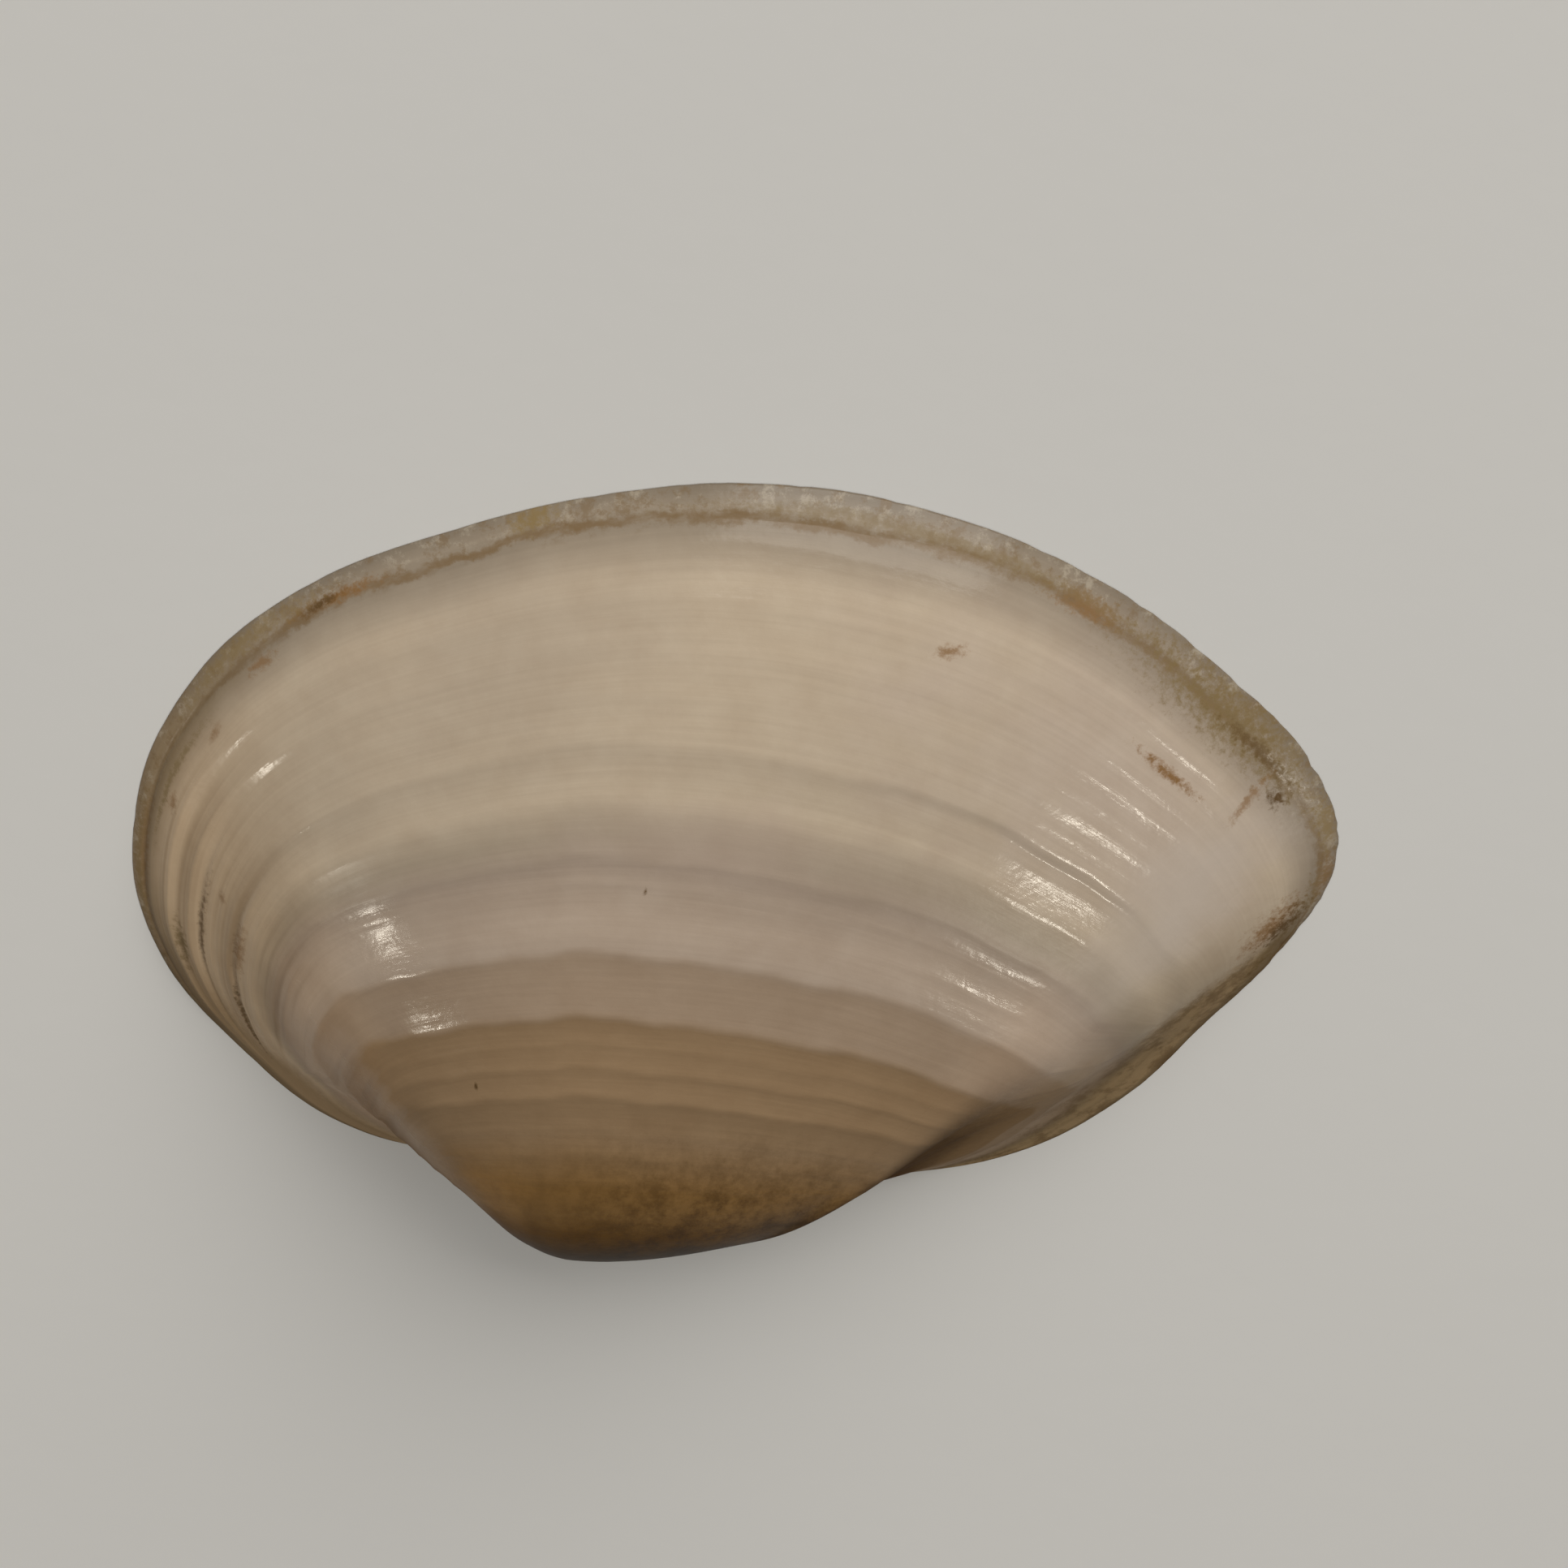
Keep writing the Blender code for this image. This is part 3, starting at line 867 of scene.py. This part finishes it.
def lit_shaded_and_tinted(recipe, settings, colour):
    """The colour with its wide soft patches: painted light and shade, and patches of another tint,
    one of which also paints shade on the umbo.
    """
    soft = recipe.swing("soft")
    # Patches of painted light and shade, and one bluer tint
    for shade, *mark in PAINTED_LIGHT_SHADE_AND_TINT:
        colour = recipe.mixed(recipe.mark(soft, mark, SOFT_EDGE), colour, shade, "MULTIPLY")
    front = recipe.fade(recipe.along, "front_tint")
    colour = recipe.mixed(front, colour, FRONT_TINT, "MULTIPLY")
    # The dark brown tint on the back of the umbo is partly painted shade
    for tint, *mark in TINTS:
        mask = recipe.mark(soft, mark, SOFT_EDGE)
        colour = recipe.mixed(mask, colour, getattr(settings, tint))
    return colour


def rimmed(recipe, colour):
    """The colour with the broken check line near the lip and the mottled, chalky rim."""
    age = recipe.maths("ADD", recipe.read("band"), recipe.swing("line_shift"))
    off_line = recipe.maths("ABSOLUTE", recipe.maths("SUBTRACT", age, CHECK_LINE_AGE))
    dashes = recipe.fade(recipe.noise(recipe.place, "dashes"), "dashes")
    line = recipe.times(recipe.fade(off_line, "line_width"), dashes)
    line = recipe.times(line, recipe.fade(recipe.along, "line_front"))
    colour = recipe.mixed(line, colour, BROWN_LINE)
    for name, tint in (("mottle", BROWN_LINE), ("chalk", RIM_CHALK)):
        flecks = recipe.fade(recipe.noise(recipe.space, name), name)
        flecks = recipe.times(flecks, recipe.fade(recipe.age, name + "_age"))
        colour = recipe.mixed(flecks, colour, tint)
    return colour


def marked(recipe, settings, colour, ragged):
    """The colour with the brown marks and specks, two of which are partly painted shade in the
    front grooves, and where they are.
    """
    dirt_and_shade = 0.0
    for tint, *mark in MARKS:
        mask = recipe.mark(ragged, mark, MARK_EDGE)
        colour = recipe.mixed(mask, colour, getattr(settings, tint))
        dirt_and_shade = recipe.maths("MAXIMUM", dirt_and_shade, mask)
    return colour, dirt_and_shade


def stained_and_shaded(recipe, settings, colour, ragged, grown, dirt_and_shade):
    """The colour with the stains and the painted shade, the back stain blotched, and where the
    marks, stains and painted shade all are.
    """
    masks = {}
    # The entries are stains on the rims and painted shade behind the keel and on the umbo's front
    # flank
    for name, (roughly, round_lip, ages, darkening) in STAINS_AND_SHADE.items():
        along = recipe.maths("MULTIPLY_ADD", ragged, roughly, recipe.along)
        masks[name] = recipe.times(recipe.span(along, *round_lip), recipe.span(grown, *ages))
        colour = recipe.mixed(masks[name], colour, darkening, "MULTIPLY")
        dirt_and_shade = recipe.maths("MAXIMUM", dirt_and_shade, masks[name])
    blotches = recipe.fade(recipe.noise(recipe.space, "blotches"), "blotches")
    blotches = recipe.times(masks["back"], blotches)
    return recipe.mixed(blotches, colour, settings.dark_brown), dirt_and_shade


def wear_and_shade(recipe, colour, grown):
    """The colour with the umbo mottled darker, partly its own mottling and partly painted shade
    that grows towards the back, and with dark lines round the front end that are partly growth
    lines and partly painted shade of the ridges.
    """
    umbo_mottle = recipe.ramp(recipe.noise(recipe.space, "umbo_mottle"), UMBO_MOTTLE_TONES)
    # Painted shade: the umbo's darkening grows from its front to its back
    old = recipe.times(recipe.fade(grown, "old"), recipe.fade(recipe.along, "umbo_shade_to_back"))
    colour = recipe.mixed(old, colour, umbo_mottle, "MULTIPLY")
    # Partly growth lines and partly painted shade of the front ridges
    lines = recipe.ramp(recipe.noise(recipe.place, "lines"), LINE_TONES)
    front = recipe.times(
        recipe.fade(recipe.along, "lines_start"), recipe.fade(recipe.along, "lines_end"))
    return recipe.mixed(recipe.times(front, SHARES["lines"]), colour, lines, "MULTIPLY")


def outside_roughness(recipe, settings, grown, dirt_and_shade):
    """Glossy where clean, and duller on marks, stains, painted shade, flanks, keel, umbo and one
    dull band.
    """
    along, age = recipe.along, recipe.age
    duller = {
        "stained_and_shaded": dirt_and_shade,
        "wear_and_shade": recipe.fade(age, "wear_and_shade"),
        "flank": recipe.maths(
            "MAXIMUM", recipe.fade(along, "back_flank"), recipe.fade(along, "front_flank")),
        "dull": recipe.times(recipe.fade(age, "dull"), recipe.fade(age, "dull_end")),
        "keel": recipe.times(recipe.fade(along, "keel"), recipe.fade(grown, "keel_age")),
    }
    rough = recipe.swing("gloss", settings.roughness)
    for name, mask in duller.items():
        rough = recipe.maths("MULTIPLY_ADD", mask, ROUGHER[name], rough)
    return rough


def outside_material(settings):
    recipe = ShellRecipe("shell_outside")
    colour = banded(recipe, settings)
    colour = lit_shaded_and_tinted(recipe, settings, colour)
    colour = rimmed(recipe, colour)
    ragged = recipe.swing("ragged")
    grown = recipe.maths("MULTIPLY_ADD", ragged, RAGGED_AGE, recipe.read("grown"))
    colour, dirt_and_shade = marked(recipe, settings, colour, ragged)
    colour, dirt_and_shade = stained_and_shaded(recipe, settings, colour, ragged, grown, dirt_and_shade)
    colour = wear_and_shade(recipe, colour, grown)
    rough = outside_roughness(recipe, settings, grown, dirt_and_shade)
    normal = recipe.bump(recipe.noise(recipe.place, "fine_lines"), FINE_LINE_HEIGHT)
    normal = recipe.bump(recipe.noise(recipe.space, "grain"), GRAIN_HEIGHT, normal=normal)
    return recipe.finish(colour, rough, normal, OUTSIDE_SPECULAR)


def inside_material(settings):
    recipe = ShellRecipe("shell_inside")
    colour, cloud = recipe.clouded(settings.inside_colour, "inside_clouds")
    age = recipe.maths("ADD", recipe.age, recipe.times(cloud, MARGIN_RAGGED))
    margin = recipe.times(recipe.fade(age, "margin"), SHARES["margin"])
    colour = recipe.mixed(margin, colour, INSIDE_MARGIN)
    pressed = recipe.times(recipe.fade(recipe.read("pressed"), "pressed"), SHARES["scars"])
    colour = recipe.mixed(pressed, colour, SCAR_COLOUR)
    rough = recipe.swing("inside_gloss", INSIDE_ROUGHNESS)
    normal = recipe.bump(recipe.noise(recipe.space, "inside_grain"), INSIDE_GRAIN_HEIGHT)
    return recipe.finish(colour, rough, normal)


def hinge_material(settings):
    recipe = Recipe("hinge_white")
    colour, _ = recipe.clouded(settings.hinge_colour, "hinge_clouds")
    rough = recipe.swing("hinge_gloss", HINGE_ROUGHNESS)
    normal = recipe.bump(recipe.noise(recipe.space, "striae"), STRIAE_HEIGHT)
    return recipe.finish(colour, rough, normal)


def floor_material(settings):
    recipe = Recipe("floor_pale")
    clouds = recipe.noise(recipe.space, "floor_clouds")
    cloudy = shaded(settings.floor_colour, FLOOR_CLOUD)
    colour = recipe.mixed(clouds, settings.floor_colour, cloudy)
    grain = recipe.noise(recipe.space, "floor_grain")
    normal = recipe.bump(grain, FLOOR_GRAIN_HEIGHT, FLOOR_GRAIN_STRENGTH)
    return recipe.finish(colour, FLOOR_ROUGHNESS, normal, FLOOR_SPECULAR)


def colour_setting(name, description, default):
    return FloatVectorProperty(
        name=name, description=description, subtype="COLOR", default=default, min=0.0, max=1.0)


class ClamValveSettings(PropertyGroup):
    columns: IntProperty(
        name="Columns", description="Points between two knots of the lip", default=6, min=2)
    outside_rings: IntProperty(
        name="Outside rings", description="Rings extruded for the outside", default=150, min=20)
    inside_rings: IntProperty(
        name="Inside rings", description="Rings extruded for the inside", default=30, min=8)
    roughness: FloatProperty(
        name="Roughness", description="Roughness of the clean shell", default=0.15,
        min=0.1, max=1.0, subtype="FACTOR")
    relief: FloatProperty(
        name="Relief", description="Height of the growth rings, as a share of the real one",
        default=1.0, min=0.0, max=3.0, subtype="FACTOR")
    keel_depth: FloatProperty(
        name="Keel", description="Depth of the hollow behind the keel", default=0.0005, min=0.0,
        max=0.001, precision=5, unit="LENGTH")
    cream: colour_setting("Cream", "Colour of the newest bands", (0.38, 0.31, 0.23))
    buff: colour_setting("Buff", "Colour of the pinkish bands in the middle", (0.34, 0.27, 0.21))
    fawn: colour_setting("Fawn", "Colour of the band next to the brown ones", (0.27, 0.20, 0.14))
    nut: colour_setting("Nut", "Colour of the brown bands round the umbo", (0.24, 0.16, 0.09))
    ochre: colour_setting("Ochre", "Colour of the umbo", (0.20, 0.11, 0.035))
    beak: colour_setting("Beak", "Colour of the beak", (0.10, 0.045, 0.003))
    brown: colour_setting("Brown", "Colour of the brown marks", (0.19, 0.100, 0.036))
    dark_brown: colour_setting("Dark brown", "Colour of the darkest marks", (0.09, 0.050, 0.018))
    olive: colour_setting("Olive", "Colour of the stains along the margins", (0.17, 0.118, 0.052))
    tan: colour_setting("Tan", "Colour of the palest marks", (0.20, 0.140, 0.062))
    bloom: colour_setting("Bloom", "Colour of the white back end", (0.42, 0.362, 0.312))
    lilac: colour_setting("Lilac", "Colour of the lilac band", (0.34, 0.26, 0.215))
    inside_colour: colour_setting("Inside", "Colour of the inside", (0.66, 0.62, 0.54))
    hinge_colour: colour_setting("Hinge", "Colour of the hinge plate", (0.63, 0.57, 0.47))


class ClamStageSettings(PropertyGroup):
    floor_colour: colour_setting("Floor", "Colour of the floor", (0.60, 0.595, 0.58))
    key_power: FloatProperty(
        name="Main light", description="Power of the large soft light", default=3.3,
        min=0.0, unit="POWER")
    lamp_power: FloatProperty(
        name="Lamps", description="Power of the two lamps that glint on the shell",
        default=0.34, min=0.0, unit="POWER")
    sky: FloatProperty(
        name="Sky", description="Strength of the even light all round", default=0.40, min=0.0)
    lens: FloatProperty(
        name="Lens", description="Focal length of the camera", default=134.5, min=10.0,
        unit="CAMERA")


class CLAM_OT_valve(Operator):
    """Build the valve's wall, with its growth rings and marks, for the CAD valve"""
    bl_idname = "clam.valve"
    bl_label = "Valve"

    def execute(self, context):
        settings = context.scene.clam_valve
        valve = build_valve(settings)
        valve.data.materials.append(outside_material(settings))
        valve.data.materials.append(inside_material(settings))
        inside_share = read(valve.data, "inside")
        for face in valve.data.polygons:
            share = min(inside_share[v] for v in face.vertices)
            face.material_index = int(share > INSIDE_MATERIAL)
        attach(valve, "root")
        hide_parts("right_valve")
        return {"FINISHED"}


def combine(target, tool, operation):
    """Cut or join the tool into the target, and remove the tool."""
    select_only(target)
    apply_modifier(target, "BOOLEAN", operation=operation, object=tool)
    bpy.data.objects.remove(tool, do_unlink=True)


def tooth(start, end, width):
    """A ridge rooted in the plate, shorter and narrower at its crest."""
    bpy.ops.mesh.primitive_cube_add(size=1.0)
    ridge = bpy.context.object
    edit_mode()
    bpy.ops.mesh.select_all(action="DESELECT")
    form = bmesh.from_edit_mesh(ridge.data)
    for vert in form.verts:
        vert.select = vert.co.z < 0
    form.select_flush(True)
    bmesh.update_edit_mesh(ridge.data)
    bpy.ops.transform.resize(value=CREST_SIZE)
    object_mode()
    run = Vector(end) - Vector(start)
    middle = (Vector(start) + Vector(end)) / 2
    height = PLATE_Z + TOOTH_ROOT - TOOTH_CREST_Z
    ridge.location = (*middle, TOOTH_CREST_Z + height / 2)
    ridge.rotation_euler.z = atan2(run.y, run.x)
    ridge.scale = (run.length, width, height)
    bpy.ops.object.transform_apply(location=True, rotation=True, scale=True)
    return ridge


def plate():
    """The flat hinge plate, before it is trimmed to the wall."""
    curve = smooth_curve("plate", PLATE, PLATE_DETAIL)
    curve.data.dimensions = "2D"
    curve.data.fill_mode = "BOTH"
    curve.data.extrude = PLATE_THICKNESS / 2
    curve.location.z = PLATE_Z + PLATE_THICKNESS / 2
    select_only(curve)
    bpy.ops.object.convert(target="MESH")
    slab = bpy.context.object
    bpy.ops.object.transform_apply(location=True, rotation=True, scale=True)
    edit_all()
    bpy.ops.mesh.remove_doubles(threshold=WELD)
    turn_outwards()
    return slab


def midwall(keel_depth):
    """The closed form between the outside and the inside of the wall."""
    ring = lip_ring(MIDWALL_COLUMNS)
    edit_all()
    bpy.ops.mesh.edge_face_add()
    select_lip(len(ring.data.vertices))
    object_mode()
    edit_mode()
    grow_back(MIDWALL_RINGS, YOUNGEST)
    bpy.ops.mesh.edge_face_add()
    turn_outwards()
    settle(ring.data)
    points = points_of(ring.data)
    centre = np.array(DRAW_IN_CENTRE)
    put_points(ring.data, centre + (points - centre) * np.array(MIDWALL))
    depth = hollows(read(ring.data, "along"), read(ring.data, "grown"), keel_depth)
    put_points(ring.data, points_of(ring.data) - normals_of(ring.data) * depth[:, None])
    return ring


def build_hinge(settings):
    """The plate with its pit and teeth, rounded together and ending inside the wall."""
    slab = plate()
    bpy.ops.mesh.primitive_uv_sphere_add(
        segments=PIT_SEGMENTS, ring_count=PIT_SEGMENTS // 2, radius=1.0,
        location=PIT_CENTRE, rotation=(0.0, 0.0, PIT_TURN), scale=PIT_SIZE)
    combine(slab, bpy.context.object, "DIFFERENCE")
    for start, end, width in TEETH.values():
        combine(slab, tooth(start, end, width), "UNION")
    combine(slab, midwall(settings.keel_depth), "INTERSECT")
    select_only(slab)
    apply_modifier(slab, "REMESH", mode="VOXEL", voxel_size=ROUNDING)
    apply_modifier(slab, "SMOOTH", factor=SOFTENING, iterations=SOFTENING_STEPS)
    bpy.ops.object.shade_smooth()
    to_metres(slab)
    slab.name = "hinge"
    return slab


class CLAM_OT_hinge(Operator):
    """Build the hinge plate with its teeth and ligament pit"""
    bl_idname = "clam.hinge"
    bl_label = "Hinge"

    def execute(self, context):
        settings = context.scene.clam_valve
        hinge = build_hinge(settings)
        hinge.data.materials.append(hinge_material(settings))
        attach(hinge, "root")
        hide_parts("right_valve")
        return {"FINISHED"}


# The camera in mm: the point it looks at, its direction, roll and distance, and how far
# the middle of the picture lies to the right of and above that point
CAMERA_AIM = Vector((-0.05, -0.31, 0.0))
CAMERA_FORWARD = Vector((0.0, 0.6054, -0.7959))
CAMERA_ROLL = 0.0539
CAMERA_DISTANCE = 155.8
CENTRE_RIGHT = 1.316
CENTRE_UP = 1.812
# The camera's film width in mm, and the nearest thing that it sees, in metres
SENSOR_WIDTH = 36.0
NEAREST = 0.005


def photo_axes():
    """Right and up in the picture: the camera stands on the belly side, upside down."""
    level = Vector((-1.0, 0.0, 0.0))
    upright = Vector((0.0, CAMERA_FORWARD.z, -CAMERA_FORWARD.y))
    turn = np.cos(CAMERA_ROLL), np.sin(CAMERA_ROLL)
    return level * turn[0] + upright * turn[1], upright * turn[0] - level * turn[1]


def add_camera(settings):
    right, up = photo_axes()
    aim = CAMERA_AIM + right * CENTRE_RIGHT + up * CENTRE_UP
    place = CAMERA_AIM - CAMERA_FORWARD * CAMERA_DISTANCE
    forward = (aim - place).normalized()
    side = forward.cross(up).normalized()
    axes = Matrix((side, side.cross(forward), -forward)).transposed()
    bpy.ops.object.camera_add()
    camera = bpy.context.object
    camera.name = "photo_camera"
    camera.matrix_world = Matrix.Translation(place * MM) @ axes.to_4x4()
    camera.data.lens = settings.lens
    camera.data.sensor_width = SENSOR_WIDTH
    camera.data.clip_start = NEAREST
    bpy.context.scene.camera = camera


def add_light(name, power, direction, distance, size, colour):
    """A square light at a distance in metres, facing the valve."""
    towards = Vector(direction).normalized()
    bpy.ops.object.light_add(type="AREA", location=towards * distance)
    light = bpy.context.object
    light.name = name
    light.data.size = size
    light.data.energy = power
    light.data.color = colour
    light.rotation_euler = (-towards).to_track_quat("-Z", "Y").to_euler()


# Lights: the setting that holds their power, their direction from the valve, their
# distance and size in metres, and their colour
LIGHTS = {
    "key": ("key_power", (-0.25, -0.85, 0.46), 0.6, 0.4, (1.0, 0.97, 0.92)),
    "left_lamp": ("lamp_power", (0.68, 0.30, 0.67), 0.5, 0.035, (1.0, 0.93, 0.80)),
    "right_lamp": ("lamp_power", (-0.613, 0.262, 0.745), 0.5, 0.030, (1.0, 0.93, 0.80)),
}
# The side where the sky is bright, and how it brightens from the dim side to there
SKY_SIDE = (0.0, -0.7, 0.7)
SKY_RISE = {"From Min": -0.3, "From Max": 0.9, "To Min": 0.15, "To Max": 1.0}
FLOOR_SIZE = 4.0


def light_sky(tree, strength):
    """A pale sky that is bright above the belly side and dim on the hinge side."""
    sky = tree.nodes["Background"]
    towards = tree.nodes.new("ShaderNodeVectorMath")
    towards.operation = "DOT_PRODUCT"
    towards.inputs[1].default_value = SKY_SIDE
    rise = tree.nodes.new("ShaderNodeMapRange")
    direction = tree.nodes.new("ShaderNodeTexCoord").outputs["Generated"]
    tree.links.new(direction, towards.inputs[0])
    tree.links.new(towards.outputs["Value"], rise.inputs["Value"])
    rise.interpolation_type = "SMOOTHSTEP"
    for name, value in SKY_RISE.items():
        rise.inputs[name].default_value = value
    tree.links.new(rise.outputs[0], sky.inputs["Color"])
    sky.inputs["Strength"].default_value = strength


class CLAM_OT_stage(Operator):
    """Lay the floor, set the lights and place the camera"""
    bl_idname = "clam.stage"
    bl_label = "Stage"

    def execute(self, context):
        settings = context.scene.clam_stage
        bpy.ops.object.select_all(action="DESELECT")
        bpy.ops.mesh.primitive_plane_add(size=FLOOR_SIZE, location=(0.0, 0.0, 0.0))
        floor = context.object
        floor.name = "floor"
        floor.data.materials.append(floor_material(settings))
        for name, (power, *rest) in LIGHTS.items():
            add_light(name, getattr(settings, power), *rest)
        world = context.scene.world or bpy.data.worlds.new("studio")
        context.scene.world = world
        world.use_nodes = True
        light_sky(world.node_tree, settings.sky)
        context.scene.view_settings.view_transform = "Standard"
        add_camera(settings)
        return {"FINISHED"}


class CLAM_PT_panel(Panel):
    """Lists the valve and the stage with their sizes and colours"""
    bl_idname = "CLAM_PT_panel"
    bl_label = "Trough clam valve"
    bl_space_type = "VIEW_3D"
    bl_region_type = "UI"
    bl_category = "Clam"

    def draw(self, context):
        groups = ((context.scene.clam_valve, (CLAM_OT_valve, CLAM_OT_hinge)),
                  (context.scene.clam_stage, (CLAM_OT_stage,)))
        for settings, operators in groups:
            box = self.layout.box()
            for name in settings.__annotations__:
                box.prop(settings, name)
            for operator in operators:
                box.operator(operator.bl_idname)


CLASSES = (ClamValveSettings, ClamStageSettings, CLAM_OT_valve, CLAM_OT_hinge, CLAM_OT_stage,
           CLAM_PT_panel)


def register():
    for cls in CLASSES:
        bpy.utils.register_class(cls)
    bpy.types.Scene.clam_valve = PointerProperty(type=ClamValveSettings)
    bpy.types.Scene.clam_stage = PointerProperty(type=ClamStageSettings)


def unregister():
    del bpy.types.Scene.clam_stage
    del bpy.types.Scene.clam_valve
    for cls in reversed(CLASSES):
        bpy.utils.unregister_class(cls)


def main():
    register()
    bpy.ops.clam.valve()
    bpy.ops.clam.hinge()
    bpy.ops.clam.stage()


if __name__ == "__main__":
    main()
